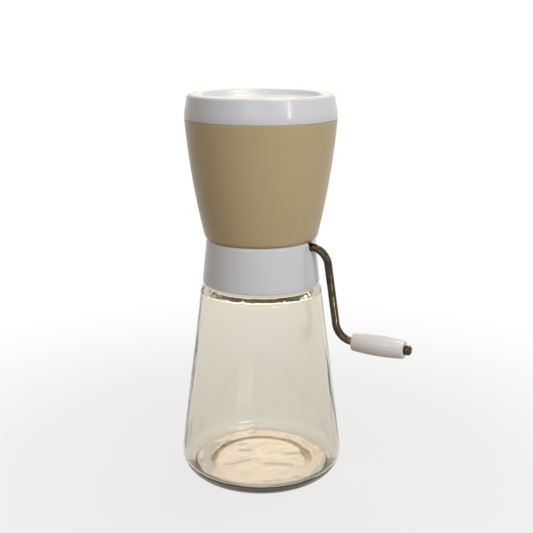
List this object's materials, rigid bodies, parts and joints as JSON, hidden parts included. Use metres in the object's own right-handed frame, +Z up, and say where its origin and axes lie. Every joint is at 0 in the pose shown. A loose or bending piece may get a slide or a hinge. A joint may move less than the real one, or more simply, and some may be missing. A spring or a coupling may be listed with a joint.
{
  "type": "nut chopper",
  "caption": "Hand-cranked nut chopper: a tapered hopper with a lift-off lid over a chopping head with a side crank, screwed onto a flared glass jar.",
  "frame": {"origin": "on the table, under the middle of the jar", "axes": "+Z up along the jar's axis; +X along the shaft, towards the crank; the crank hangs straight down at rest"},
  "size_m": [0.1268, 0.0862, 0.203],
  "materials": {
    "clear_glass": "clear pressed glass with a faint olive tint where it is thick",
    "tan_plastic": "moulded, soft gloss",
    "white_plastic": "moulded, soft gloss, slightly aged",
    "nickel_rod": "worn nickel plate",
    "stamped_steel": "tinned stamping"
  },
  "bodies": {
    "jar": {"jar": "clear_glass"},
    "head": {"collar": "white_plastic", "hopper": "tan_plastic", "coarse_comb": "stamped_steel", "fine_comb": "stamped_steel", "comb_rivets": "stamped_steel"},
    "lid": {"lid": "white_plastic"},
    "crank": {"crank_rod": "nickel_rod", "grip_cap": "nickel_rod", "end_sleeve_left": "stamped_steel", "end_sleeve_right": "stamped_steel", "chopper_finger_1": "stamped_steel", "chopper_finger_2": "stamped_steel", "chopper_finger_3": "stamped_steel", "chopper_finger_4": "stamped_steel", "chopper_finger_5": "stamped_steel", "chopper_finger_6": "stamped_steel", "finger_spacer_1": "stamped_steel", "finger_spacer_2": "stamped_steel", "finger_spacer_3": "stamped_steel", "finger_spacer_4": "stamped_steel", "finger_spacer_5": "stamped_steel"},
    "grip": {"crank_grip": "white_plastic"}
  },
  "joints": [
    {"name": "head_lift", "type": "slide", "parent": "jar", "child": "head", "axis": [0, 0, 1], "range_m": [0, 0.06]},
    {"name": "lid_lift", "type": "slide", "parent": "head", "child": "lid", "axis": [0, 0, 1], "range_m": [0, 0.04]},
    {"name": "crank_turn", "type": "hinge", "parent": "head", "child": "crank", "pos_m": [0, 0, 0.127], "axis": [1, 0, 0], "continuous": true},
    {"name": "grip_spin", "type": "hinge", "parent": "crank", "child": "grip", "pos_m": [0.0652, 0, 0.08], "axis": [1, 0, 0], "continuous": true}
  ]
}
